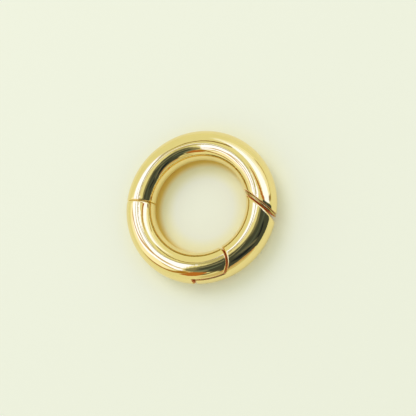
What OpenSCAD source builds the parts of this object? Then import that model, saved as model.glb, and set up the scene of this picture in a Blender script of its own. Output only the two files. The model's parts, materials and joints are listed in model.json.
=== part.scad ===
// Round push clasp: a hollow ring bent from round tube, with a sprung gate that opens inwards.
// The ring lies flat with its axis upright. The origin is its middle, on the surface below it.
// Angles run anticlockwise from +X, seen from above. All sizes are in millimetres.

/* [Ring] */
// Outside diameter of the ring
ring_d = 15; // [14:0.5:17]
// Outside diameter of the round tube
tube_d = 2.9; // [2.8:0.05:3.1]
// Thickness of the tube's wall
wall = 0.3; // [0.25:0.05:0.35]

/* [Fixed joint] */
// Where the two fixed tubes meet
joint_angle = 176; // [165:1:185]
// Hairline left between their ends
joint_gap = 0.04; // [0.02:0.01:0.08]
// Length of the hidden sleeve that both tubes are pushed on to
sleeve_l = 2.4; // [1.6:0.2:3.2]
// Wall of the hidden sleeve
sleeve_wall = 0.25; // [0.2:0.05:0.4]
// Radial clearance of a piece that is pushed into a tube
push_fit = 0.02; // [0.01:0.01:0.04]

/* [Slit] */
// Where the upper tube's slanted edge crosses the middle line of the tube
slit_angle = 0.5; // [-2:0.5:3]
// How far the slit leans away from the ring's radius
slit_lean = 40; // [38:1:42]
// Fine groove between the upper tube's edge and the head of its plug
plug_groove = 0.06; // [0.03:0.01:0.08]
// Thickness of the plug's head
plug_head = 0.19; // [0.15:0.01:0.25]
// Step from the tube's outside down to the plug's head
plug_step = 0.05; // [0.02:0.01:0.1]
// How deep the plug reaches into the tube
plug_depth = 1.2; // [0.8:0.1:2]
// Running gap between the plug and the gate
slit_gap = 0.11; // [0.08:0.01:0.15]
// Least gap that the gate's outer corner keeps as it swings past the plug
swing_gap = 0.06; // [0.04:0.01:0.08]

/* [Hinge] */
// Where the hinge pin stands
pin_angle = -75.5; // [-77:0.5:-73]
// How far the pin stands inside the middle line of the tube
pin_inset = 0.25; // [0.2:0.05:0.3]
// Diameter of the hinge pin
pin_d = 0.5; // [0.4:0.05:0.6]
// Radial clearance of the pin in the lower tube
pin_fit = 0.01; // [0.01:0.01:0.02]
// Radial clearance of the pin in the gate
hinge_fit = 0.03; // [0.02:0.01:0.05]
// Radius about the pin to which the lower tube's end is rounded
nose_r = 1.65; // [1.6:0.05:1.75]
// Gap between the lower tube's rounded end and the gate
seam_gap = 0.14; // [0.1:0.01:0.18]

/* [Tongue of the gate] */
// Height of the tongue
tongue_h = 1.64; // [1.5:0.02:1.7]
// Depth of the tongue, in from the outside of the ring
tongue_depth = 1.35; // [1.2:0.05:1.4]
// Where the tongue's tail ends
tail_angle = -89; // [-91:1:-87]
// Diameter of the knuckle that the pin goes through
knuckle_d = 1.2; // [1.1:0.05:1.3]
// How far the tongue reaches into the gate's tube
tongue_grip = 1.1; // [0.8:0.1:1.6]
// Clearance above and below the tongue in the lower tube's slot
slot_side_gap = 0.1; // [0.05:0.01:0.12]
// Length of the open end of the slot, past the tail
slot_end_gap = 0.4; // [0.2:0.05:0.6]

/* [Hidden] */
$fn = 96;
tube_r = tube_d / 2;
bore_r = tube_r - wall;
ring_r = (ring_d - tube_d) / 2;
outer_r = ring_d / 2;
gold = [0.93, 0.79, 0.42];
pale_gold = [0.86, 0.72, 0.46];
raw_brass = [0.72, 0.57, 0.28];

// The slit's cutting blocks reach this far along the slit and away from it.
cut_l = 2.4 * tube_r;
cut_w = 2.8 * tube_r;
// Spare length, so that one shape passes right through another.
over = 1;

gate_face = plug_groove + plug_head + slit_gap;
plug_face = plug_groove + plug_head;
socket_r = nose_r + seam_gap;
pin_r = ring_r - pin_inset;
pin_at = [pin_r * cos(pin_angle), pin_r * sin(pin_angle)];
slit_at = [ring_r * cos(slit_angle), ring_r * sin(slit_angle)];
slit_normal = slit_angle - slit_lean + 90;
// Distance from the pin to the upper tube's slanted edge, square to the slit.
pin_to_slit = (slit_at[0] - pin_at[0]) * cos(slit_normal) + (slit_at[1] - pin_at[1]) * sin(slit_normal);
swing_r = pin_to_slit - plug_face - swing_gap;
tongue_r = outer_r - tongue_depth;
slot_h = tongue_h + 2 * slot_side_gap;
slot_end_angle = tail_angle - slot_end_gap / outer_r * 180 / PI;
// The tongue's inner end, well inside the gate's tube.
grip_angle = pin_angle + 34;
// The pin ends where the lower tube's top curves down past its outer side.
pin_half_l = sqrt(tube_r * tube_r - (pin_inset + pin_d / 2) * (pin_inset + pin_d / 2));

// A solid bar of the given radius bent round the ring from one angle to another.
module bar(from, to, radius) {
    rotate([0, 0, from])
        rotate_extrude(angle = to - from)
            translate([ring_r, 0]) circle(r = radius);
}

// Everything on the upper tube's side of the slit, beyond the given distance towards the gate.
module slit_upper_side(towards_gate) {
    translate(slit_at)
        rotate([0, 0, slit_angle - slit_lean])
            translate([-cut_l, -towards_gate, -tube_d])
                cube([2 * cut_l, cut_w, 2 * tube_d]);
}

// Everything on the gate's side of the slit, beyond the given distance towards the gate.
module slit_gate_side(towards_gate) {
    translate(slit_at)
        rotate([0, 0, slit_angle - slit_lean])
            translate([-cut_l, -towards_gate - cut_w, -tube_d])
                cube([2 * cut_l, cut_w, 2 * tube_d]);
}

// An upright round post about the hinge pin's axis.
module post(radius, height) {
    translate(pin_at) cylinder(r = radius, h = height, center = true);
}

// A flat block in the shape of a ring's sector, from a radius out past the tube.
module flat_sector(from, to, inner, height) {
    rotate([0, 0, from])
        rotate_extrude(angle = to - from)
            translate([inner, -height / 2])
                square([outer_r + over - inner, height]);
}

// The outer corner of the gate's tip, kept within its swing about the pin.
module swing_relief() {
    difference() {
        flat_sector(slit_angle - 25, slit_angle + 5, ring_r, 2 * tube_d);
        post(swing_r, 3 * tube_d);
    }
}

// The rocking tongue: a band at the ring's outside, and the knuckle round the pin.
module tongue() {
    flat_sector(tail_angle - over, grip_angle, tongue_r, tongue_h);
    post(knuckle_d / 2, tongue_h);
}

// The room that the gate leaves for the lower tube's end.
module hinge_room() {
    post(socket_r, 2 * tube_d);
    flat_sector(tail_angle - over, pin_angle, over, 2 * tube_d);
}

module upper_tube() {
    color(gold)
    translate([0, 0, tube_r])
    difference() {
        bar(slit_angle - 20, joint_angle - joint_gap / 2 / ring_r * 180 / PI, tube_r);
        bar(slit_angle - 25, joint_angle + over, bore_r);
        slit_gate_side(0);
    }
}

module end_plug() {
    color(pale_gold)
    translate([0, 0, tube_r]) {
        difference() {
            bar(slit_angle - 20, slit_angle + 25, tube_r - plug_step);
            slit_upper_side(plug_groove);
            slit_gate_side(plug_face);
        }
        difference() {
            bar(slit_angle - 20, slit_angle + 30, bore_r - push_fit);
            slit_upper_side(-plug_depth);
            slit_gate_side(plug_face - plug_head / 2);
        }
    }
}

module lower_tube() {
    color(gold)
    translate([0, 0, tube_r])
    difference() {
        union() {
            bar(joint_angle + joint_gap / 2 / ring_r * 180 / PI, pin_angle + 360, tube_r);
            intersection() {
                bar(pin_angle - over, pin_angle + 30, tube_r);
                post(nose_r, 2 * tube_d);
            }
        }
        bar(joint_angle - over, pin_angle + 390, bore_r);
        flat_sector(slot_end_angle, pin_angle + 30, ring_r - pin_inset / 2, slot_h);
        post(knuckle_d / 2 + slot_side_gap, slot_h);
        post(pin_d / 2 + pin_fit, 2 * tube_d);
    }
}

module joint_sleeve() {
    half_angle = sleeve_l / 2 / ring_r * 180 / PI;
    color(raw_brass)
    translate([0, 0, tube_r])
    difference() {
        bar(joint_angle - half_angle, joint_angle + half_angle, bore_r - push_fit);
        bar(joint_angle - half_angle - over, joint_angle + half_angle + over, bore_r - push_fit - sleeve_wall);
    }
}

module gate() {
    color(gold)
    translate([0, 0, tube_r])
    difference() {
        bar(tail_angle, slit_angle + 20, tube_r);
        difference() {
            hinge_room();
            tongue();
        }
        difference() {
            bar(pin_angle, slit_angle + 25, bore_r);
            post(socket_r + tongue_grip, tongue_h);
            slit_upper_side(gate_face + wall);
        }
        post(pin_d / 2 + hinge_fit, tube_d);
        slit_upper_side(gate_face);
        swing_relief();
    }
}

module hinge_pin() {
    color(pale_gold)
    translate([0, 0, tube_r])
        post(pin_d / 2, 2 * pin_half_l);
}

upper_tube();
end_plug();
lower_tube();
joint_sleeve();
gate();
hinge_pin();
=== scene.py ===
"""Dresses a round push clasp: a ring bent from round tube, with a sprung gate hinged on a flush rivet.

Every visible tube is a closed mesh worked out from the ring's own sizes: its rows run along the bend,
and its ends follow the flat cuts of the slit and joint and the round cuts about the hinge pin.
"""

import json
import math

import bmesh
import bpy
from bpy.props import FloatProperty, FloatVectorProperty, PointerProperty
from mathutils import Matrix, Vector

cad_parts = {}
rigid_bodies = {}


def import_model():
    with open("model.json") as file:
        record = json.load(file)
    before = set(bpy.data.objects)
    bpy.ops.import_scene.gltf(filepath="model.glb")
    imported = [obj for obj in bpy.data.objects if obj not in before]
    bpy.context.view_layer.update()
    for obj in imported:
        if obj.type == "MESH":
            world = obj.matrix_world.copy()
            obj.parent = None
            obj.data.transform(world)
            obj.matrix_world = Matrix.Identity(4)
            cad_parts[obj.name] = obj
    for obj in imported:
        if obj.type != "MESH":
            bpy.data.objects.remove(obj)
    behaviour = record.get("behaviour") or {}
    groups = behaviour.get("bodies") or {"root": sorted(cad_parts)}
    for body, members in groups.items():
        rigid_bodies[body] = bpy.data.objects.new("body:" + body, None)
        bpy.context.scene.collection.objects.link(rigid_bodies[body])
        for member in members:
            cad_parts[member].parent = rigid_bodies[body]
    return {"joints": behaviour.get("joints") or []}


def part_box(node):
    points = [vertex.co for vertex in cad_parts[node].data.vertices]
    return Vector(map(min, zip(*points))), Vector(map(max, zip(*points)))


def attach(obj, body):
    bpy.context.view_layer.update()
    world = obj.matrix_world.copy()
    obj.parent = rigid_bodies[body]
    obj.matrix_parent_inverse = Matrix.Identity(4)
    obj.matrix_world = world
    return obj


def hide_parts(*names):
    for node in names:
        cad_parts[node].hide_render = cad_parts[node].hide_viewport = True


bl_info = {
    "name": "Round push clasp",
    "version": (1, 0, 0),
    "blender": (4, 5, 0),
    "location": "3D View > Sidebar > Clasp",
    "description": "Builds the polished pieces of a round push clasp and a plain studio round it",
    "category": "Object",
}

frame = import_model()

MM = 0.001
TUBE_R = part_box("lower_tube")[1].z / 2
RING_OUTER_R = -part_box("lower_tube")[0].x
PIN = Vector(frame["joints"][0]["pos_m"])
POLISHED = "polished_gold_plate"
# The cut faces' material is painted red-brown and given a faint glow: painted light that stands in for gold
# light bouncing between the walls of the cuts.
CUT = "cut_gold_painted_bounce"

# Small reaches that tell places on a mesh apart.
HAIR = 0.01 * MM
ON_SURFACE = 0.0005 * MM
WELD_REACH = 0.0004 * MM
# Edges sharper than this are rims, and each is rounded in this many steps.
SHARP_EDGE = math.radians(35)
RIM_SEGMENTS = 4


def length(name, default, description):
    """A size that a user may change."""
    return FloatProperty(name=name, default=default, description=description, min=0.0,
                         precision=5, unit="LENGTH", subtype="DISTANCE")


def angle(name, degrees, description):
    """An angle that a user may change."""
    return FloatProperty(name=name, default=math.radians(degrees), description=description,
                         unit="ROTATION", subtype="ANGLE")


def colour(name, default, description):
    """A colour that a user may change."""
    return FloatVectorProperty(name=name, default=default, description=description, size=3,
                               subtype="COLOR", min=0.0, max=1.0)


def factor(name, default, description):
    """A plain number that a user may change."""
    return FloatProperty(name=name, default=default, description=description, min=0.0, precision=4)


def spot(name, default, description):
    """A place that a user may change."""
    return FloatVectorProperty(name=name, default=default, description=description, size=3,
                               precision=5, subtype="TRANSLATION")


class ClaspShape(bpy.types.PropertyGroup):
    """Sizes of the clasp's tubes, cuts and tongue."""

    wall: length("Tube wall", 0.3 * MM, "Thickness of the tube's wall")
    joint_angle: angle("Joint angle", 176, "Where the two fixed tubes meet")
    joint_gap: length("Joint gap", 0.01 * MM, "Hairline between the two fixed tubes")
    slit_angle: angle("Slit angle", 0.5, "Where the upper tube's slanted edge crosses its middle line")
    slit_lean: angle("Slit lean", 40, "How far the slit leans away from the ring's radius")
    plug_groove: length("Plug groove", 0.06 * MM, "Groove between the upper tube and its plug")
    plug_head: length("Plug head", 0.19 * MM, "Thickness of the plug's head")
    plug_step: length("Plug step", 0.05 * MM, "Step from the tube's outside down to the plug")
    plug_depth: length("Plug depth", 1.2 * MM, "How deep the plug reaches into the tube")
    push_fit: length("Push fit", 0.02 * MM, "Clearance of the plug in the tube")
    slit_gap: length("Slit gap", 0.11 * MM, "Running gap between the plug and the gate")
    swing_gap: length("Swing gap", 0.06 * MM, "Least gap of the gate's outer corner as it swings")
    nose: length("Nose radius", 1.65 * MM, "Radius about the pin of the lower tube's end")
    seam_gap: length("Seam gap", 0.14 * MM, "Gap between the lower tube's end and the gate")
    tongue_height: length("Tongue height", 1.64 * MM, "Height of the gate's tongue")
    tongue_depth: length("Tongue depth", 1.35 * MM, "Depth of the tongue in from the ring's outside")
    tail_angle: angle("Tail angle", -89, "Where the tongue's tail ends")
    knuckle: length("Knuckle diameter", 1.2 * MM, "Diameter of the knuckle that the pin goes through")
    pin_diameter: length("Pin diameter", 0.5 * MM, "Diameter of the hinge pin")
    hinge_fit: length("Hinge fit", 0.03 * MM, "Clearance of the pin in the gate's knuckle")
    slot_side_gap: length("Slot side gap", 0.1 * MM, "Clearance beside the tongue in its slot")
    slot_end_gap: length("Slot end gap", 0.4 * MM, "Open length of the slot past the tail")
    joint_rim: length("Joint rim", 0.16 * MM, "Rounding of both fixed tubes at their joint")
    slit_rim: length("Slit rim", 0.07 * MM, "Rounding of the upper tube's slanted edge")
    tip_rim: length("Tip rim", 0.17 * MM, "Rounding of the gate's slanted tip")
    nose_rim: length("Nose rim", 0.1 * MM, "Rounding of the lower tube's nose")
    socket_rim: length("Socket rim", 0.2 * MM, "Rounding of the gate's edge at the hinge")
    slot_rim: length("Slot rim", 0.07 * MM, "Rounding along the slot and the tongue")
    plug_rim: length("Plug rim", 0.03 * MM, "Rounding of the plug's head")
    bore_rim: length("Bore rim", 0.04 * MM, "Rounding of the tubes' inner edges")


class ClaspFinish(bpy.types.PropertyGroup):
    """Colours and polish of the clasp's metals, with the painted bounce light of the cut faces."""

    gold: colour("Gold", (0.94, 0.76, 0.33), "Pale yellow gold plate, polished")
    plug_gold: colour("Plug gold", (0.6, 0.43, 0.13), "Darker gold of the plug, left as cut")
    # Painted light: the cut faces' red-brown colour and faint glow stand in for gold light bouncing between
    # the walls of the cuts.
    cut_painted_red: colour("Cut gold", (0.8, 0.38, 0.14), "Gold of the cut faces, stained by polishing rouge")
    cut_painted_glow: colour("Cut bounce", (0.055, 0.015, 0.005),
                       "Faint light that bounces to and fro inside the cuts")
    brass: colour("Brass", (0.60, 0.42, 0.16), "Plain drawn brass of the hidden sleeve")
    polish: factor("Polish", 0.03, "Roughness of the polished gold")
    satin: factor("Satin", 0.45, "Roughness of the cut faces and the brass")
    # Painted light: this share makes the cut faces matt, so that their painted red-brown bounce light shows.
    painted_red_share: factor("Rouge", 0.7, "How much polishing rouge covers the cut faces")
    plug_satin: factor("Plug satin", 0.2, "Roughness of the plug")
    ripple: factor("Ripple", 0.8, "Strength of the polished surface's slight waves")
    streaks: factor("Streaks", 0.5, "Strength of the polishing streaks along the tubes")


class ClaspStage(bpy.types.PropertyGroup):
    """The floor with its painted light, the camera and the soft studio light."""

    floor_size: length("Floor size", 3.0, "Width of the floor")
    floor_colour: colour("Floor colour", (0.875, 0.875, 0.88), "Plain cream floor")
    # Painted light: the floor in the hole is painted lighter, to offset the shade of the ring round it.
    floor_middle_painted_lit: colour("Floor in the hole", (0.92, 0.92, 0.91), "Floor in the middle of the ring")
    floor_glow: colour("Floor glow", (0.98, 0.95, 0.72), "Light that the ring throws on the floor inside it")
    floor_gold: colour("Gold on the floor", (0.95, 0.71, 0.19), "Gold light by the ring's inner side")
    floor_copper: colour("Copper on the floor", (1.0, 0.58, 0.12), "Redder light right under the ring")
    floor_halo: colour("Floor halo", (0.94, 0.93, 0.82), "Light that the ring throws on the floor round it")
    aim: spot("Aim", (0.876 * MM, -0.279 * MM, 1.45 * MM), "Point that the camera looks at")
    distance: length("Camera distance", 47.81 * MM, "From the aim to the camera")
    tilt: angle("Camera tilt", 20.7, "How far the camera leans away from straight above")
    azimuth: angle("Camera direction", -38.1, "Direction from the aim to the camera, seen from above")
    focal: FloatProperty(name="Focal length", default=43.3, description="Camera's focal length",
                         unit="CAMERA")
    world: factor("World light", 1.03, "Strength of the pale surroundings")
    world_colour: colour("World colour", (0.79, 0.83, 0.66), "Colour of the pale surroundings")
    key_power: factor("Key power", 0.4, "Power of the key light")
    key_size: length("Key size", 250 * MM, "Width of the key light")
    key_place: spot("Key place", (-160 * MM, 200 * MM, 350 * MM), "Where the key light hangs")
    key_colour: colour("Key colour", (1.0, 0.97, 0.9), "Colour of the key light")


class RingPath:
    """The round middle line that every tube is bent along, and the upright cuts across it."""

    def __init__(self, shape):
        self.reach = RING_OUTER_R - TUBE_R
        self.pin_reach = math.hypot(PIN.x, PIN.y)
        self.pin_angle = math.atan2(PIN.y, PIN.x)
        self.slit_facing = shape.slit_angle - shape.slit_lean + math.pi / 2
        self.slit_offset = self.reach * math.cos(self.slit_facing - shape.slit_angle)
        self.joint = shape.joint_angle

    def point(self, at, out, up):
        """A point at an angle about the ring, out from its axis and up from the tubes' middle."""
        return Vector((out * math.cos(at), out * math.sin(at), TUBE_R + up))

    def depth(self, point):
        """How deep a point lies under the tubes' outside."""
        return TUBE_R - math.hypot(math.hypot(point.x, point.y) - self.reach, point.z - TUBE_R)

    def flat_cut(self, facing, offset):
        """Gives the angle at which a flat cut, at an offset from the ring's axis, meets a reach."""
        return lambda out: facing - math.acos(min(1.0, offset / out))

    def slit_cut(self, towards_gate):
        """The slit's flat cut, moved towards the gate."""
        return self.flat_cut(self.slit_facing, self.slit_offset - towards_gate)

    def joint_cut(self, past_joint):
        """The flat cut across the left joint, moved past it."""
        return self.flat_cut(self.joint + math.pi / 2, past_joint)

    def round_cut(self, radius):
        """A round cut about the hinge pin, on the gate's side of it."""
        pin = self.pin_reach

        def at(out):
            leg = (out * out + pin * pin - radius * radius) / (2 * out * pin)
            return self.pin_angle + math.acos(max(-1.0, min(1.0, leg)))

        return at


def spread(first, last, count):
    """Evenly spread numbers from the first to the last, over a count of steps."""
    return [first + (last - first) * n / count for n in range(count + 1)]


def patch(mesh, rows, columns, place, cut=False):
    """Adds a grid of faces: place(row, column) gives each corner. Cut faces take the second material."""
    grid = [[mesh.verts.new(place(row, column)) for column in columns] for row in rows]
    for low, high in zip(grid, grid[1:]):
        for n in range(len(columns) - 1):
            face = mesh.faces.new((low[n], low[n + 1], high[n + 1], high[n]))
            face.material_index = int(cut)


def weld(mesh):
    """Joins the patches of a piece into one closed skin that faces outwards."""
    bmesh.ops.remove_doubles(mesh, verts=mesh.verts, dist=WELD_REACH)
    bmesh.ops.dissolve_degenerate(mesh, edges=mesh.edges, dist=WELD_REACH / 2)
    bmesh.ops.recalc_face_normals(mesh, faces=mesh.faces)


def round_rims(mesh, widest, width_at):
    """Marks every sharp edge with its own share of the widest rim."""
    layer = mesh.edges.layers.float.new("bevel_weight_edge")
    for edge in mesh.edges:
        if len(edge.link_faces) == 2 and edge.calc_face_angle(0.0) > SHARP_EDGE:
            middle = (edge.verts[0].co + edge.verts[1].co) / 2
            edge[layer] = min(1.0, width_at(middle) / widest)


def new_object(name, mesh, *materials):
    """Turns a mesh into an object with its materials."""
    data = bpy.data.meshes.new(name)
    for material in materials:
        data.materials.append(material)
    mesh.to_mesh(data)
    mesh.free()
    made = bpy.data.objects.new(name, data)
    bpy.context.scene.collection.objects.link(made)
    return made


def finished(name, mesh, rim, *materials):
    """Turns a mesh into a piece with its metals, its rims rounded and every face smooth."""
    piece = new_object(name, mesh, *materials)
    piece.data.polygons.foreach_set("use_smooth", [True] * len(piece.data.polygons))
    bevel = piece.modifiers.new("Rounded rims", "BEVEL")
    bevel.width = rim
    bevel.segments = RIM_SEGMENTS
    bevel.limit_method = "WEIGHT"
    bevel.use_clamp_overlap = False
    bevel.material = 0
    apply_modifiers(piece)
    return piece


def apply_modifiers(piece):
    """Keeps the result of a piece's modifiers as its mesh."""
    bpy.context.view_layer.update()
    graph = bpy.context.evaluated_depsgraph_get()
    data = bpy.data.meshes.new_from_object(piece.evaluated_get(graph), depsgraph=graph)
    piece.modifiers.clear()
    piece.data = data


def add_or_cut(piece, operation, radius, height):
    """Joins an upright round post about the hinge pin's axis to a piece, or cuts it away."""
    mesh = bmesh.new()
    profile = [(0.0, -height / 2), (radius, -height / 2), (radius, height / 2), (0.0, height / 2)]

    def place(corner, turn):
        out, up = corner
        return Vector((PIN.x + out * math.cos(turn), PIN.y + out * math.sin(turn), TUBE_R + up))

    patch(mesh, profile, spread(0.0, math.tau, count=64), place, cut=True)
    weld(mesh)
    post = new_object("Post", mesh)
    step = piece.modifiers.new("Post", "BOOLEAN")
    step.operation = operation
    step.object = post
    step.use_self = True
    apply_modifiers(piece)
    bpy.data.objects.remove(post)
    if not piece.data.polygons:
        raise RuntimeError("The round post about the pin left nothing of " + piece.name)


def true_reflections(piece, path):
    """Gives the polished outside its exact directions, so that reflections run clean to the rims."""
    data = piece.data
    normals = [Vector(corner.vector) for corner in data.corner_normals]
    exact = {}
    for vertex in data.vertices:
        x, y, _ = vertex.co
        out = max(math.hypot(x, y), MM)
        centre = Vector((x, y, 0.0)) * (path.reach / out) + Vector((0, 0, TUBE_R))
        away = vertex.co - centre
        if abs(away.length - TUBE_R) < ON_SURFACE:
            exact[vertex.index] = away.normalized()
    for face in data.polygons:
        if face.material_index == 0:
            for n in face.loop_indices:
                normals[n] = exact.get(data.loops[n].vertex_index, normals[n])
    data.normals_split_custom_set(normals)


def take(piece, body, node):
    """Hands a finished piece to its body in place of its solid."""
    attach(piece, body)
    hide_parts(node)


def lengthwise(path, first, last, steps, clear):
    """Shares of a tube's length for its rows, which leave both rims clear for their rounding."""
    span = abs(last - first) * path.reach
    return [0.0] + spread(clear / span, 1 - clear / span, steps) + [1.0]


def tube_skin(mesh, path, first, last, shares, around, radius, cut=False):
    """A stretch of tube surface between two cuts."""

    def place(share, turn):
        out = path.reach + radius * math.cos(turn)
        return path.point(first(out) * (1 - share) + last(out) * share, out, radius * math.sin(turn))

    patch(mesh, shares, around, place, cut)


def end_face(mesh, path, cut, turns, radii):
    """A tube's end face between paired angles round its outside and its bore."""

    def place(share, turn):
        outer_turn, inner_turn = turn
        outer, inner = radii
        across = outer * math.cos(outer_turn) * (1 - share) + inner * math.cos(inner_turn) * share
        up = outer * math.sin(outer_turn) * (1 - share) + inner * math.sin(inner_turn) * share
        out = path.reach + across
        return path.point(cut(out), out, up)

    patch(mesh, [0.0, 1.0], turns, place, cut=True)


def shaded(name):
    """A new material, with its node tree and its shader."""
    material = bpy.data.materials.new(name)
    material.use_nodes = True
    return material, material.node_tree, material.node_tree.nodes["Principled BSDF"]


def noise(tree, place, scale, detail):
    """A noise texture over the given coordinates, which are in metres."""
    texture = tree.nodes.new("ShaderNodeTexNoise")
    texture.inputs["Scale"].default_value = scale
    texture.inputs["Detail"].default_value = detail
    tree.links.new(place, texture.inputs["Vector"])
    return texture


def vary_tone(tree, shader, texture, base, darker, low, high):
    """Lets a texture darken the base colour by a share, between a low and a high value of the texture."""
    tone = tree.nodes.new("ShaderNodeValToRGB")
    dark, full = tone.color_ramp.elements
    dark.position = low
    dark.color = (*[c * darker for c in base], 1.0)
    full.position = high
    full.color = (*base, 1.0)
    tree.links.new(texture.outputs["Fac"], tone.inputs["Fac"])
    tree.links.new(tone.outputs["Color"], shader.inputs["Base Color"])


def vary_roughness(tree, shader, texture, least, most, low=0.0, high=1.0):
    """Lets a texture spread the roughness from least to most, between its low and its high value."""
    haze = tree.nodes.new("ShaderNodeMapRange")
    haze.inputs["From Min"].default_value = low
    haze.inputs["From Max"].default_value = high
    haze.inputs["To Min"].default_value = least
    haze.inputs["To Max"].default_value = most
    tree.links.new(texture.outputs["Fac"], haze.inputs["Value"])
    tree.links.new(haze.outputs["Result"], shader.inputs["Roughness"])


def bumped(tree, texture, strength, depth, under=None):
    """Bumps the surface with a texture, over an earlier bump where there is one."""
    bump = tree.nodes.new("ShaderNodeBump")
    bump.inputs["Strength"].default_value = strength
    bump.inputs["Distance"].default_value = depth
    tree.links.new(texture.outputs["Fac"], bump.inputs["Height"])
    if under:
        tree.links.new(under, bump.inputs["Normal"])
    return bump.outputs["Normal"]


def along_bend(tree, place):
    """Coordinates that hardly change along the ring, so that a texture over them draws out into streaks."""
    flat = tree.nodes.new("ShaderNodeVectorMath")
    flat.operation = "MULTIPLY"
    flat.inputs[1].default_value = (1.0, 1.0, 0.0)
    reach = tree.nodes.new("ShaderNodeVectorMath")
    reach.operation = "LENGTH"
    parts = tree.nodes.new("ShaderNodeSeparateXYZ")
    # A small share of X ends each streak somewhere along the ring.
    drift = tree.nodes.new("ShaderNodeMath")
    drift.operation = "MULTIPLY"
    drift.inputs[1].default_value = 0.06
    lengthways = tree.nodes.new("ShaderNodeCombineXYZ")
    tree.links.new(place, flat.inputs[0])
    tree.links.new(flat.outputs["Vector"], reach.inputs[0])
    tree.links.new(place, parts.inputs["Vector"])
    tree.links.new(parts.outputs["X"], drift.inputs[0])
    tree.links.new(reach.outputs["Value"], lengthways.inputs["X"])
    tree.links.new(drift.outputs["Value"], lengthways.inputs["Y"])
    tree.links.new(parts.outputs["Z"], lengthways.inputs["Z"])
    return lengthways.outputs["Vector"]


def polished_gold(finish):
    """Mirror-polished pale gold plate: faint blushes and haze, slight waves, and streaks along the bend."""
    material, tree, shader = shaded(POLISHED)
    shader.inputs["Metallic"].default_value = 1.0
    place = tree.nodes.new("ShaderNodeTexCoord").outputs["Object"]
    blush = noise(tree, place, scale=900.0, detail=3.0)
    vary_tone(tree, shader, blush, finish.gold, darker=0.97, low=0.35, high=0.65)
    smear = noise(tree, place, scale=2600.0, detail=4.0)
    vary_roughness(tree, shader, smear, finish.polish * 0.7, finish.polish * 1.6, low=0.3, high=0.75)
    waves = noise(tree, place, scale=700.0, detail=3.0)
    waves.inputs["Roughness"].default_value = 0.62
    rippled = bumped(tree, waves, finish.ripple, depth=0.01 * MM)
    streaks = noise(tree, along_bend(tree, place), scale=3500.0, detail=2.0)
    brushed = bumped(tree, streaks, finish.streaks, depth=0.002 * MM, under=rippled)
    tree.links.new(brushed, shader.inputs["Normal"])
    return material


def satin_metal(name, base, roughness, metallic=1.0, painted_glow=(0.0, 0.0, 0.0)):
    """Metal left as cut or drawn: fine grain, a soft, uneven sheen, and a painted glow standing in for light
    bouncing in cuts.
    """
    material, tree, shader = shaded(name)
    shader.inputs["Metallic"].default_value = metallic
    # Painted light: the glow stands in for light bouncing between the walls of cuts.
    shader.inputs["Emission Color"].default_value = (*painted_glow, 1.0)
    shader.inputs["Emission Strength"].default_value = 1.0
    place = tree.nodes.new("ShaderNodeTexCoord").outputs["Object"]
    grain = noise(tree, place, scale=9000.0, detail=5.0)
    vary_tone(tree, shader, grain, base, darker=0.85, low=0.3, high=0.7)
    vary_roughness(tree, shader, grain, roughness * 0.8, roughness * 1.3)
    tree.links.new(bumped(tree, grain, strength=0.15, depth=0.01 * MM), shader.inputs["Normal"])
    return material


def shared_gold(finish):
    """The polished gold and the cut gold that the pieces share; the cut gold's red-brown and faint glow are
    painted bounce light.
    """
    polished = bpy.data.materials.get(POLISHED) or polished_gold(finish)
    cut = bpy.data.materials.get(CUT) or satin_metal(
        CUT, finish.cut_painted_red, finish.satin, 1 - finish.painted_red_share, finish.cut_painted_glow)
    return polished, cut


class CLASP_OT_upper_tube(bpy.types.Operator):
    """Builds the fixed tube over the top of the ring, from the slit to the joint."""

    bl_idname = "clasp.upper_tube"
    bl_label = "Upper tube"

    def execute(self, context):
        """Makes the tube's outside, its bore and both end faces."""
        shape = context.scene.clasp_shape
        path = RingPath(shape)
        slit = path.slit_cut(0.0)
        joint = path.joint_cut(-shape.joint_gap / 2)
        bore = TUBE_R - shape.wall
        around = spread(0.0, math.tau, count=128)
        pairs = [(turn, turn) for turn in around]
        mesh = bmesh.new()
        shares = lengthwise(path, shape.slit_angle, path.joint, steps=150, clear=2 * shape.joint_rim)
        tube_skin(mesh, path, slit, joint, shares, around, TUBE_R)
        tube_skin(mesh, path, slit, joint, spread(0.0, 1.0, count=40), around, bore, cut=True)
        end_face(mesh, path, slit, pairs, (TUBE_R, bore))
        end_face(mesh, path, joint, pairs, (TUBE_R, bore))
        weld(mesh)

        def width_at(point):
            if path.depth(point) > shape.wall / 2:
                return shape.bore_rim
            return shape.slit_rim if point.x > 0 else shape.joint_rim

        round_rims(mesh, shape.joint_rim, width_at)
        metals = shared_gold(context.scene.clasp_finish)
        piece = finished("upper_tube_polished", mesh, shape.joint_rim, *metals)
        true_reflections(piece, path)
        take(piece, "ring", "upper_tube")
        return {"FINISHED"}


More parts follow.
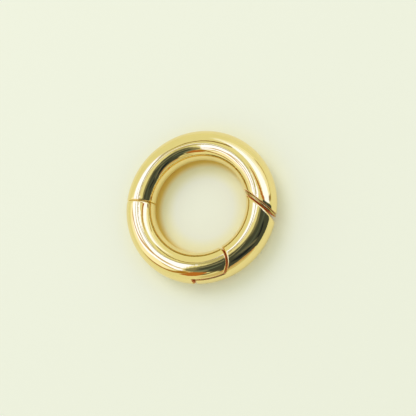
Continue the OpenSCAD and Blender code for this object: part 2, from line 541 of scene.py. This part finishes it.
class CLASP_OT_end_plug(bpy.types.Operator):
    """Builds the plug whose head shows as a narrow band in the slit."""

    bl_idname = "clasp.end_plug"
    bl_label = "End plug"

    def execute(self, context):
        """Makes the head and the shank as one turned piece, bent and cut like the tube's end."""
        shape = context.scene.clasp_shape
        path = RingPath(shape)
        head = TUBE_R - shape.plug_step
        shank = TUBE_R - shape.wall - shape.push_fit
        face = path.slit_cut(shape.plug_groove + shape.plug_head)
        back = path.slit_cut(shape.plug_groove)
        deep = path.slit_cut(-shape.plug_depth)
        # On its inner side the shank's slanted end would run too deep, and is cut off square.
        deepest = shape.slit_angle + math.radians(30)

        def inner(out):
            return min(deep(out), deepest)

        around = spread(0.0, math.tau, count=96)
        pairs = [(turn, turn) for turn in around]
        mesh = bmesh.new()
        end_face(mesh, path, face, pairs, (head, 0.0))
        tube_skin(mesh, path, face, back, [0.0, 1.0], around, head)
        end_face(mesh, path, back, pairs, (head, shank))
        tube_skin(mesh, path, back, inner, spread(0.0, 1.0, count=6), around, shank)
        end_face(mesh, path, inner, pairs, (shank, 0.0))
        weld(mesh)
        round_rims(mesh, shape.plug_rim, lambda point: shape.plug_rim)
        finish = context.scene.clasp_finish
        plug_gold = satin_metal("plug_gold_as_cut", finish.plug_gold, finish.plug_satin)
        piece = finished("end_plug_satin", mesh, shape.plug_rim, plug_gold, shared_gold(finish)[1])
        take(piece, "ring", "end_plug")
        return {"FINISHED"}


class CLASP_OT_lower_tube(bpy.types.Operator):
    """Builds the fixed tube round the bottom, with its rounded nose and the slot for the tongue."""

    bl_idname = "clasp.lower_tube"
    bl_label = "Lower tube"

    def execute(self, context):
        """Makes the whole stretch up to the slot, then the open stretch beside it."""
        shape = context.scene.clasp_shape
        path = RingPath(shape)
        joint = path.joint_cut(shape.joint_gap / 2)
        nose_cut = path.round_cut(shape.nose)
        bore = TUBE_R - shape.wall
        slot_half = shape.tongue_height / 2 + shape.slot_side_gap
        slot_end = shape.tail_angle - shape.slot_end_gap / RING_OUTER_R + math.tau
        outer_edge = math.asin(slot_half / TUBE_R)
        bore_edge = math.asin(slot_half / bore)

        def nose(out):
            return nose_cut(out) + math.tau

        def slot_cut(out):
            return slot_end

        # Steps across the slot, and round the rest of the tube.
        window, rest = 36, 108
        outer_window = spread(-outer_edge, outer_edge, window)
        bore_window = spread(-bore_edge, bore_edge, window)
        outer_rest = spread(outer_edge, math.tau - outer_edge, rest)
        bore_rest = spread(bore_edge, math.tau - bore_edge, rest)
        mesh = bmesh.new()
        shares = lengthwise(path, path.joint, slot_end, steps=74, clear=2 * shape.joint_rim)
        beside = lengthwise(path, slot_end, nose(path.reach), steps=24, clear=2 * shape.nose_rim)
        coarse = spread(0.0, 1.0, count=24)
        for turns in (outer_window, outer_rest):
            tube_skin(mesh, path, joint, slot_cut, shares, turns, TUBE_R)
        for turns in (bore_window, bore_rest):
            tube_skin(mesh, path, joint, slot_cut, coarse, turns, bore, cut=True)
        tube_skin(mesh, path, slot_cut, nose, beside, outer_rest, TUBE_R)
        tube_skin(mesh, path, slot_cut, nose, beside, bore_rest, bore, cut=True)
        for outer, inner in ((outer_window, bore_window), (outer_rest, bore_rest)):
            end_face(mesh, path, joint, list(zip(outer, inner)), (TUBE_R, bore))
        end_face(mesh, path, nose, list(zip(outer_rest, bore_rest)), (TUBE_R, bore))
        end_face(mesh, path, slot_cut, list(zip(outer_window, bore_window)), (TUBE_R, bore))
        outer_out = path.reach + TUBE_R * math.cos(outer_edge)
        bore_out = path.reach + bore * math.cos(bore_edge)

        def lip(share, corner):
            out, up = corner
            at = slot_cut(out) * (1 - share) + nose(out) * share
            return path.point(at, out, up)

        for up in (slot_half, -slot_half):
            patch(mesh, beside, [(outer_out, up), (bore_out, up)], lip, cut=True)
        weld(mesh)

        def width_at(point):
            beside_slot = abs(point.z - TUBE_R) < slot_half + HAIR and point.y < 0
            if path.depth(point) > shape.wall / 2:
                return shape.bore_rim
            if beside_slot and math.hypot(point.x, point.y) > path.reach:
                return shape.slot_rim
            return shape.joint_rim if point.x < -path.reach / 2 else shape.nose_rim

        round_rims(mesh, shape.joint_rim, width_at)
        metals = shared_gold(context.scene.clasp_finish)
        piece = finished("lower_tube_polished", mesh, shape.joint_rim, *metals)
        true_reflections(piece, path)
        take(piece, "ring", "lower_tube")
        return {"FINISHED"}


class CLASP_OT_gate(bpy.types.Operator):
    """Builds the gate: its tube, its closed slanted tip, and the tongue with its knuckle."""

    bl_idname = "clasp.gate"
    bl_label = "Gate"

    def execute(self, context):
        """Makes the outside down to the tongue's tail, the tip, the socket's face and the tongue's inside."""
        shape = context.scene.clasp_shape
        path = RingPath(shape)
        socket = path.round_cut(shape.nose + shape.seam_gap)
        plug_face = shape.plug_groove + shape.plug_head
        flat_tip = path.slit_cut(plug_face + shape.slit_gap)
        slit_point = path.point(shape.slit_angle, path.reach, 0.0)
        facing = Vector((math.cos(path.slit_facing), math.sin(path.slit_facing), 0.0))
        swing = (slit_point - PIN).dot(facing) - plug_face - shape.swing_gap
        relief = path.round_cut(swing)

        def tip(out):
            return min(flat_tip(out), relief(out)) if out > path.reach else flat_tip(out)

        def tail(out):
            return shape.tail_angle

        half = shape.tongue_height / 2
        edge_turn = math.asin(half / TUBE_R)
        tongue_in = RING_OUTER_R - shape.tongue_depth
        tongue_out = path.reach + TUBE_R * math.cos(edge_turn)
        # Steps across the tongue's outer side and down each flank of it. The rest of the tube has as many
        # as both flanks and the tongue's inner side together.
        window, flank = 36, 34
        rest = 2 * flank + window
        window_turns = spread(-edge_turn, edge_turn, window)
        rest_turns = spread(edge_turn, math.tau - edge_turn, rest)
        mesh = bmesh.new()
        shares = lengthwise(path, socket(path.reach), tip(path.reach), steps=56, clear=1.6 * shape.socket_rim)
        beside = lengthwise(path, shape.tail_angle, socket(path.reach), steps=20, clear=2 * shape.slot_rim)
        for turns in (window_turns, rest_turns):
            tube_skin(mesh, path, socket, tip, shares, turns, TUBE_R)
            end_face(mesh, path, tip, [(t, t) for t in turns], (TUBE_R, 0.0))
        tube_skin(mesh, path, tail, socket, beside, window_turns, TUBE_R)

        outline = [(tongue_out + (tongue_in - tongue_out) * n / flank, half) for n in range(flank)]
        outline += [(tongue_in, half - 2 * half * n / window) for n in range(window)]
        outline += [(tongue_in + (tongue_out - tongue_in) * n / flank, -half) for n in range(flank + 1)]

        def socket_face(share, n):
            turn = rest_turns[n]
            outer_out, outer_up = path.reach + TUBE_R * math.cos(turn), TUBE_R * math.sin(turn)
            inner_out, inner_up = outline[n]
            out = outer_out * (1 - share) + inner_out * share
            return path.point(socket(out), out, outer_up * (1 - share) + inner_up * share)

        def tongue_inside(share, n):
            out, up = outline[n]
            return path.point(tail(out) * (1 - share) + socket(out) * share, out, up)

        def tail_face(share, n):
            turn = window_turns[n]
            out = (path.reach + TUBE_R * math.cos(turn)) * (1 - share) + tongue_in * share
            up = TUBE_R * math.sin(turn) * (1 - share) + (2 * n / window - 1) * half * share
            return path.point(tail(out), out, up)

        # The socket's face has closer rows towards the tongue.
        patch(mesh, [0.0, 0.45, 0.75, 1.0], range(rest + 1), socket_face, cut=True)
        patch(mesh, beside, range(rest + 1), tongue_inside, cut=True)
        patch(mesh, spread(0.0, 1.0, count=flank), range(window + 1), tail_face, cut=True)
        weld(mesh)
        tip_start = shape.slit_angle - math.radians(35)

        def width_at(point):
            out, up = math.hypot(point.x, point.y), abs(point.z - TUBE_R)
            if math.atan2(point.y, point.x) > tip_start:
                return shape.tip_rim
            if path.depth(point) > HAIR or up < half + HAIR and out > path.reach:
                return shape.slot_rim
            if out < tongue_in:
                return shape.socket_rim
            # Above and below the tongue the socket's rim narrows with the height that is left.
            return max(HAIR, min(shape.socket_rim, (up - half) / 2.5))

        round_rims(mesh, shape.socket_rim, width_at)
        metals = shared_gold(context.scene.clasp_finish)
        piece = finished("gate_polished", mesh, shape.socket_rim, *metals)
        add_or_cut(piece, "UNION", shape.knuckle / 2, shape.tongue_height - 2 * shape.hinge_fit)
        add_or_cut(piece, "DIFFERENCE", shape.pin_diameter / 2 + shape.hinge_fit, 2 * TUBE_R)
        true_reflections(piece, path)
        take(piece, "gate", "gate")
        return {"FINISHED"}


class CLASP_OT_fittings(bpy.types.Operator):
    """Finishes the hinge pin and the sleeve inside the joint, whose solids stay as they are."""

    bl_idname = "clasp.fittings"
    bl_label = "Pin and sleeve"

    def execute(self, context):
        """Gives the pin the polished plate and the sleeve its drawn brass."""
        finish = context.scene.clasp_finish
        brass = satin_metal("drawn_brass", finish.brass, finish.satin)
        for node, metal in (("hinge_pin", shared_gold(finish)[0]), ("joint_sleeve", brass)):
            for material_slot in bpy.data.objects[node].material_slots:
                material_slot.material = metal
        return {"FINISHED"}


class CLASP_OT_stage(bpy.types.Operator):
    """Builds the camera, the plain floor, the surroundings, the key light and the cards."""

    bl_idname = "clasp.stage"
    bl_label = "Stage"

    def execute(self, context):
        """Makes the camera, the floor, the surroundings, the key light and the cards, one under another."""
        stage = context.scene.clasp_stage
        self.add_camera(context, stage)
        self.add_floor(stage)
        self.add_world(context, stage)
        self.add_key_light(context, stage)
        self.add_cards()
        context.scene.view_settings.view_transform = "Standard"
        return {"FINISHED"}

    def add_camera(self, context, stage):
        """Puts the camera at the photograph's angle, upright to the ring's top."""
        data = bpy.data.cameras.new("Camera")
        data.lens = stage.focal
        data.sensor_width = 36.0
        data.clip_start = 1.0 * MM
        camera = bpy.data.objects.new("Camera", data)
        context.scene.collection.objects.link(camera)
        hinge = Vector((-math.sin(stage.azimuth), math.cos(stage.azimuth), 0.0))
        turn = Matrix.Rotation(stage.tilt, 4, hinge)
        back = Matrix.Translation((0, 0, stage.distance))
        camera.matrix_world = Matrix.Translation(stage.aim) @ turn @ back
        context.scene.camera = camera

    def add_floor(self, stage):
        """A plain matt floor, with the gold light that the ring throws on it painted in."""
        mesh = bmesh.new()
        half = stage.floor_size / 2
        square = ((-1, -1), (1, -1), (1, 1), (-1, 1))
        mesh.faces.new([mesh.verts.new((x * half, y * half, 0.0)) for x, y in square])
        floor = new_object("Floor", mesh, painted_floor(stage))

    def add_world(self, context, stage):
        """Pale, even surroundings."""
        world = bpy.data.worlds.new("Surroundings")
        world.use_nodes = True
        back = world.node_tree.nodes["Background"]
        back.inputs["Color"].default_value = (*stage.world_colour, 1.0)
        back.inputs["Strength"].default_value = stage.world
        context.scene.world = world

    def add_key_light(self, context, stage):
        """A large soft light from the upper left, which gives the floor its soft shadow."""
        data = bpy.data.lights.new("Key", "AREA")
        data.shape = "DISK"
        data.size = stage.key_size
        data.energy = stage.key_power
        data.color = stage.key_colour
        light = bpy.data.objects.new("Key", data)
        light.visible_glossy = False
        light.location = stage.key_place
        light.rotation_euler = light.location.to_track_quat("Z", "Y").to_euler()
        context.scene.collection.objects.link(light)

    def add_cards(self):
        """Cards over the clasp that it mirrors: pale soft lights, dark flags and coloured bounces."""
        for name, centre, outline, glow in FAN_CARDS:
            fan_card(name, centre, outline, glow)
        for name, spine, glow in STRIP_CARDS:
            strip_card(name, spine, glow)


def painted_floor(stage):
    """The floor's matt paint, with painted rings of gold light inside, under and round the clasp, and painted
    light in the hole.
    """
    material, tree, shader = shaded("floor_matt")
    shader.inputs["Roughness"].default_value = 0.9
    shader.inputs["Specular IOR Level"].default_value = 0.1
    place = tree.nodes.new("ShaderNodeTexCoord")
    reach = tree.nodes.new("ShaderNodeVectorMath")
    reach.operation = "LENGTH"
    span = tree.nodes.new("ShaderNodeMapRange")
    span.inputs["From Max"].default_value = 10 * MM
    rings = tree.nodes.new("ShaderNodeValToRGB")
    rings.color_ramp.interpolation = "EASE"
    stops = rings.color_ramp.elements
    # Each stop is its share of the 10 mm span out from the ring's axis, and its colour.
    # The first stop, in the hole, is painted lighter against the ring's shade.
    stops[0].position, stops[0].color = 0.28, (*stage.floor_middle_painted_lit, 1.0)
    stops[1].position, stops[1].color = 1.0, (*stage.floor_colour, 1.0)
    for share, tint in ((0.42, stage.floor_glow), (0.49, stage.floor_gold), (0.56, stage.floor_copper),
                        (0.6, stage.floor_copper), (0.67, stage.floor_halo)):
        stops.new(share).color = (*tint, 1.0)
    tree.links.new(place.outputs["Object"], reach.inputs[0])
    tree.links.new(reach.outputs["Value"], span.inputs["Value"])
    tree.links.new(span.outputs["Result"], rings.inputs["Fac"])
    tree.links.new(rings.outputs["Color"], shader.inputs["Base Color"])
    return material


# Level cards that spread out from a centre: name, centre, outline and colour. Each corner of an outline
# is x, y and the softness of the edge there, in millimetres.
FAN_CARDS = (
    ("Pale left", (-50, -10), (
        (-22, 14, 6), (-60, 22, 20), (-90, 0, 25), (-92, -36, 25), (-60, -48, 10), (-33, -36, 4),
        (-17, -24, 3), (-14, -8, 4), (-24, 0, 8)), (1.05, 1.1, 1.2)),
    ("White left", (-20, 1), (
        (-1, 5.2, 1.2), (2, 6.8, 1), (-1, 7.6, 1), (-4, 8, 1), (-6.6, 7.9, 1), (-8.6, 8.4, 1.2),
        (-10.4, 12, 1.5), (-14, 14.8, 2), (-21, 16.4, 3), (-28, 14, 4), (-33, 8, 6), (-38, 1, 6),
        (-37, -9, 5), (-30, -12.5, 3), (-20, -12.5, 2.5), (-17, -15, 2), (-16, -19, 1.5), (-12.6, -19.5, 1.2),
        (-10.6, -13, 1), (-8.4, -7, 1), (-7.1, -2, 1.2), (-6.6, 2, 1.2), (-6.2, 4.4, 1.2), (-3.5, 4.4, 1.2)),
     (1.2, 1.4, 2.9)),
    ("Pale right", (25, 30), (
        (-2, 22, 3), (6, 14, 2), (22, 7, 2), (60, 10, 4), (110, 24, 20), (90, 70, 25), (45, 75, 20),
        (5, 50, 10), (-8, 36, 6)), (0.95, 1.0, 0.95)),
    ("Cream right", (22, 22), (
        (-6, 27, 3), (-1.5, 22, 2), (-0.5, 18, 1.5), (0, 15.8, 1.5), (3, 13.8, 1.5), (6, 12, 1.5),
        (9, 10.4, 1.5), (12, 9, 1.2), (15, 7.6, 1.2), (19, 6, 1), (24, 4.6, 1), (43, 7.2, 1.5),
        (78, 11, 4), (84, 22, 10), (50, 24, 10), (46, 30, 10), (38, 36, 10), (32, 41, 10),
        (19.5, 39, 10), (9.9, 37, 8), (-6, 36, 8)),
     (0.98, 1.11, 1.4)),
    ("White right", (20, 15), (
        (-4, 26, 4), (-0.5, 21, 1.5), (0.5, 18, 1.5), (1, 16.2, 1.5), (4, 14.2, 1.5), (7, 12.6, 1.5),
        (10, 11, 1.5), (13, 9.4, 1.2), (16, 7.8, 1.2), (20, 6.2, 1), (24, 4.8, 1), (43, 7.4, 1.5),
        (66, 10.4, 5), (54, 18, 8), (36, 24, 8), (22, 27, 8), (12, 28, 8)), (1.17, 1.35, 2.6)),
    ("Warm low", (30, -85), (
        (58, -45, 6), (150, -104, 20), (110, -190, 40), (20, -220, 40), (-40, -150, 30), (-16, -60, 12),
        (8, -46, 6), (24, -34, 4), (34, -28, 4)), (0.62, 0.56, 0.36)),
    ("Orange left", (-11, -36), (
        (-3.5, -44, 3), (-12, -52, 4), (-24, -58, 6), (-31, -50, 5), (-19, -33, 3), (-12.5, -24, 2),
        (-8, -20, 1), (-2, -24, 1)), (0.48, 0.19, 0.05)),
    ("Olive surround", (6, -10), (
        (9, 5.3, 0.6), (14, 5.3, 0.6), (21, 5.6, 0.6), (29.4, 6.2, 0.8), (40, -10, 8), (25, -40, 8),
        (3, -39, 5), (-3, -27, 2), (-8.6, -21, 1.2), (-11.4, -17, 1.2), (-10.8, -12, 1.5), (-8.2, -7, 1.2),
        (-6.8, -3, 1.5), (-6, 0.5, 3), (-3.2, 2.3, 4), (0, 3.4, 4), (4, 4.6, 2.5)),
     (0.25, 0.255, 0.2)),
    ("Dark flag", (22, -14), (
        (19.3, 5, 0.6), (42.9, 7, 1), (92.8, 12, 2), (237, 26, 10), (281, -50, 40), (215, -100, 20),
        (147, -99, 10), (60.6, -50, 4), (32, -40, 3), (24, -43, 3), (15.8, -48, 4), (9, -54, 6),
        (2, -38, 6), (-4.5, -27, 3.5), (-7.8, -18, 2.8), (-7.4, -12, 2.5), (-6.8, -7, 2.2), (-6.2, -3.8, 2),
        (-3, -2.2, 3), (0.5, -1, 6), (5, -0.5, 7), (9, 1.5, 5), (9.4, 4.9, 0.6), (12, 4.9, 0.6)),
     (0.06, 0.074, 0.08)),
    ("Gold ledge", (-2.5, 2.4), (
        (-8.2, 5.2, 0.8), (-4, 5, 0.8), (1, 5.4, 0.8), (3.8, 5.2, 0.8), (4.8, 3.6, 1.6), (5, 1.6, 1.6),
        (4, -0.6, 1.6), (0, -1.8, 1.6), (-3.4, -1.6, 1.6), (-6.4, -1, 1.4), (-7.8, 0.5, 1)),
     (0.84, 0.88, 0.72)),
)
# Narrow level cards: name, middle line and colour. Each point along the middle is x, y and half the
# width there, in millimetres.
STRIP_CARDS = (
    ("Dim middle", ((38, 6, 2), (29, 2.5, 4), (22, -2, 4.5), (20.5, -7, 4), (16, -11, 3.8), (9, -12, 3.5),
                    (4, -12.5, 2)), (0.085, 0.114, 0.137)),
    ("Dark core", ((27, -3, 1.5), (31, -8, 4.5), (33, -12.5, 7), (30.5, -18, 8), (25, -21, 7.5),
                   (18, -22, 6.5), (12, -20.5, 4.5), (7, -20, 2)), (0.013, 0.018, 0.034)),
    ("Brown low", ((7, -33, 1.5), (3, -34, 3.5), (-1, -36, 4.5), (-4, -40, 4.5), (-5.5, -46, 2.5)),
     (0.17, 0.15, 0.08)),
    ("Brown arc", ((-1, 10.2, 0.8), (2, 9.6, 1.3), (5, 8.7, 1.6), (8, 8, 1.7), (11, 7.2, 1.7),
                   (14, 6.6, 1.7), (18, 6.1, 1.6), (22, 5.8, 1.2)), (0.46, 0.18, 0.04)),
    ("Gold strip", ((-9.4, 7.8, 1), (-8.2, 7, 1.3), (-6.8, 7.1, 1.4), (-5.4, 7, 1.3), (-4, 6.6, 1)),
     (0.6, 0.6, 0.3)),
    ("Olive shelf", ((-4.3, -0.8, 0.9), (-5.8, 1, 1.2), (-6.8, 2.6, 1.3), (-8, 4.6, 1.2),
                     (-8.9, 6.4, 1.2), (-9.8, 8.2, 1.1), (-10.8, 9.8, 1)), (0.48, 0.5, 0.36)),
    ("Tan ledge", ((-4.2, 4.5, 0.7), (-5.4, 4.7, 0.9), (-6.1, 4.2, 1), (-6.3, 3.4, 1), (-5.8, 2.4, 0.8)),
     (0.62, 0.54, 0.32)),
    ("Olive line", ((-12.2, 11.4, 0.9), (-10.6, 10.5, 1.1), (-9, 10.3, 1.2), (-8.2, 12, 1.4),
                    (-6.6, 13.4, 1.6), (-4.5, 15.2, 1.8), (-2.6, 16.2, 1.8), (-1, 17.4, 1.5),
                    (0.5, 18.4, 0.8)), (0.3, 0.2, 0.05)),
    ("Tan arc", ((-13, 7.5, 0.8), (-14.8, 5, 1.5), (-15.6, 2, 1.8), (-15.9, -2, 1.8), (-15.6, -5, 1.8),
                 (-13.4, -8, 1.8), (-11.2, -10, 1.6), (-10.4, -13, 1.2)), (0.66, 0.6, 0.42)),
    ("Tan branch", ((-10.6, -7.2, 1), (-13.4, -5.2, 1.8), (-19, -4, 2.4), (-24, -2.8, 2.8), (-26.5, 0.5, 3),
                    (-29, 3.5, 3), (-34, 6, 2.6)), (0.66, 0.44, 0.13)),
    ("Tan left", ((-15.4, -20.5, 1.2), (-17.2, -18, 2.4), (-18.4, -15.4, 2.6), (-19.4, -12.4, 1.2)),
     (0.6, 0.5, 0.24)),
    ("Amber left", ((-9.8, -17, 2), (-13.5, -23, 3.2), (-18, -29.5, 4.5), (-25, -34.1, 5), (-34, -38.5, 8),
                    (-50, -42, 11), (-85, -48, 13), (-131, -52, 10)), (0.42, 0.22, 0.03)),
    ("Brown right", ((28, 41, 3), (41, 50, 6), (56, 55, 9), (85, 60, 12), (106, 52, 14),
                     (150, 42, 18)), (0.45, 0.32, 0.1)),
    ("Rust edge", ((90, -66, 8), (62, -55, 7), (34, -47, 5), (25, -50, 5), (17, -56, 6), (9, -62, 6)),
     (0.5, 0.16, 0.04)),
    ("Olive right", ((42, 11, 2), (76, 20, 6), (120, 34, 10), (180, 56, 16)), (0.3, 0.22, 0.08)),
    ("Grey streak", ((5, -11, 1.2), (10, -12.6, 1.8), (15, -14, 2.2), (20, -15.4, 2.6), (27, -17, 3),
                     (36, -19, 3)), (0.15, 0.165, 0.17)),
    ("Olive ridge", ((4.2, -2.8, 1), (3.2, -4.2, 1.6), (1.8, -6, 1.7), (-0.4, -7, 1.6), (-2.6, -6.8, 1.7),
                     (-4.6, -7.4, 1.6), (-5.8, -8.8, 1)), (0.25, 0.28, 0.27)),
    ("Olive tail", ((-2, -17.5, 2), (-4, -19, 3.6), (-6, -18.5, 3.6), (-8, -16.5, 2.5), (-9, -14, 1.2)),
     (0.26, 0.29, 0.25)),
    ("Green streak", ((3.4, -13, 1), (0.3, -14.6, 1.6), (-2.1, -16.1, 1.9), (-5, -16, 1.9),
                      (-7.5, -16.1, 1.6), (-9.6, -16.1, 1)), (0.15, 0.21, 0.24)),
)
# How high the cards hang over the tubes' middle, less a drop for every object that is there.
CARD_HEIGHT = 25 * MM
CARD_DROP = 0.05 * MM
# Rows of a fan card, as shares of the way out from its centre: closer where its edge fades.
FAN_ROWS = (0.0, 0.4, 0.6, 0.7, 0.78, 0.84, 0.88, 0.91, 0.94, 0.96, 0.98, 1.0)
FAN_SIDE_STEPS = 5
STRIP_STEPS = 8
STRIP_COLUMNS = 12
# How steeply a strip card fades towards its sides, and towards its ends.
SIDE_FADE = 1.6
END_FADE = 1.5


def card_drop():
    """How far the next card hangs below the cards' height, so that later cards hide earlier ones."""
    return CARD_DROP * len(bpy.data.objects)


def card_point(x, y, drop):
    """A point on a level card, from millimetres."""
    return Vector((x * MM, y * MM, TUBE_R + CARD_HEIGHT - drop))


def soft_step(share):
    """Eases a share from nought to one."""
    share = max(0.0, min(1.0, share))
    return share * share * (3 - 2 * share)


def fan_card(name, centre, outline, glow):
    """A level card that spreads from its centre to an outline with soft edges."""
    drop = card_drop()
    centre_x, centre_y = centre
    sides = []
    for first, last in zip(outline, (*outline[1:], outline[0])):
        for n in range(FAN_SIDE_STEPS):
            along = n / FAN_SIDE_STEPS
            sides.append([a * (1 - along) + b * along for a, b in zip(first, last)])
    sides.append(list(outline[0]))

    def place(share, side):
        x, y, _ = side
        return card_point(centre_x * (1 - share) + x * share, centre_y * (1 - share) + y * share, drop)

    def fade(share, side):
        x, y, soft = side
        return soft_step((1 - share) * math.hypot(x - centre_x, y - centre_y) / soft)

    add_card(name, FAN_ROWS, sides, place, fade, glow)


def strip_card(name, spine, glow):
    """A narrow level card along a bent line, which fades towards both sides and both ends."""
    drop = card_drop()
    steps = len(spine) - 1
    shares = spread(0.0, steps, steps * STRIP_STEPS)

    def middle(share):
        n = min(int(share), steps - 1)
        return [a + (b - a) * (share - n) for a, b in zip(spine[n], spine[n + 1])]

    def place(share, across):
        x, y, half = middle(share)
        ahead = middle(min(share + 0.01, steps))
        behind = middle(max(share - 0.01, 0.0))
        along = Vector((ahead[0] - behind[0], ahead[1] - behind[1])).normalized()
        return card_point(x - along.y * across * half, y + along.x * across * half, drop)

    def fade(share, across):
        to_side, to_end = 1 - abs(across), min(share, steps - share)
        return soft_step(to_side * SIDE_FADE) * soft_step(to_end * END_FADE)

    add_card(name, shares, spread(-1.0, 1.0, STRIP_COLUMNS), place, fade, glow)


def add_card(name, rows, columns, place, fade, glow):
    """Makes a glowing card that only reflections see."""
    mesh = bmesh.new()
    layer = mesh.verts.layers.float.new("fade")
    patch(mesh, rows, columns, place)
    mesh.verts.ensure_lookup_table()
    for n, vertex in enumerate(mesh.verts):
        vertex[layer] = fade(rows[n // len(columns)], columns[n % len(columns)])
    card = new_object(name, mesh, glowing(name, glow))
    card.visible_camera = card.visible_diffuse = card.visible_shadow = False


def glowing(name, glow):
    """A card's light, which its fade lets through."""
    material = bpy.data.materials.new(name)
    material.use_nodes = True
    nodes, links = material.node_tree.nodes, material.node_tree.links
    nodes.clear()
    output = nodes.new("ShaderNodeOutputMaterial")
    mix = nodes.new("ShaderNodeMixShader")
    clear = nodes.new("ShaderNodeBsdfTransparent")
    light = nodes.new("ShaderNodeEmission")
    share = nodes.new("ShaderNodeAttribute")
    share.attribute_name = "fade"
    light.inputs["Color"].default_value = (*glow, 1.0)
    links.new(share.outputs["Fac"], mix.inputs["Fac"])
    links.new(clear.outputs["BSDF"], mix.inputs[1])
    links.new(light.outputs["Emission"], mix.inputs[2])
    links.new(mix.outputs["Shader"], output.inputs["Surface"])
    return material


class CLASP_PT_tools(bpy.types.Panel):
    """Lists the steps that build the clasp, with its sizes, finish and stage."""

    bl_idname = "CLASP_PT_tools"
    bl_label = "Round push clasp"
    bl_space_type = "VIEW_3D"
    bl_region_type = "UI"
    bl_category = "Clasp"

    def draw(self, context):
        """Draws a button for each piece, then the settings."""
        for operator in BUILD_ORDER:
            self.layout.operator(operator.bl_idname)
        for setting in SETTINGS:
            group = getattr(context.scene, setting)
            box = self.layout.box()
            for name in group.__annotations__:
                box.prop(group, name)


BUILD_ORDER = (
    CLASP_OT_stage,
    CLASP_OT_upper_tube,
    CLASP_OT_end_plug,
    CLASP_OT_lower_tube,
    CLASP_OT_gate,
    CLASP_OT_fittings,
)
SETTINGS = {"clasp_shape": ClaspShape, "clasp_finish": ClaspFinish, "clasp_stage": ClaspStage}
CLASSES = (*SETTINGS.values(), *BUILD_ORDER, CLASP_PT_tools)


def register():
    """Adds the classes and the scene's settings."""
    for cls in CLASSES:
        bpy.utils.register_class(cls)
    for name, group in SETTINGS.items():
        setattr(bpy.types.Scene, name, PointerProperty(type=group))


def unregister():
    """Removes the scene's settings and the classes."""
    for name in SETTINGS:
        delattr(bpy.types.Scene, name)
    for cls in reversed(CLASSES):
        bpy.utils.unregister_class(cls)


def main():
    """Builds the whole scene."""
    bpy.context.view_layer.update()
    register()
    bpy.ops.clasp.stage()
    bpy.ops.clasp.upper_tube()
    bpy.ops.clasp.end_plug()
    bpy.ops.clasp.lower_tube()
    bpy.ops.clasp.gate()
    bpy.ops.clasp.fittings()


if __name__ == "__main__":
    main()
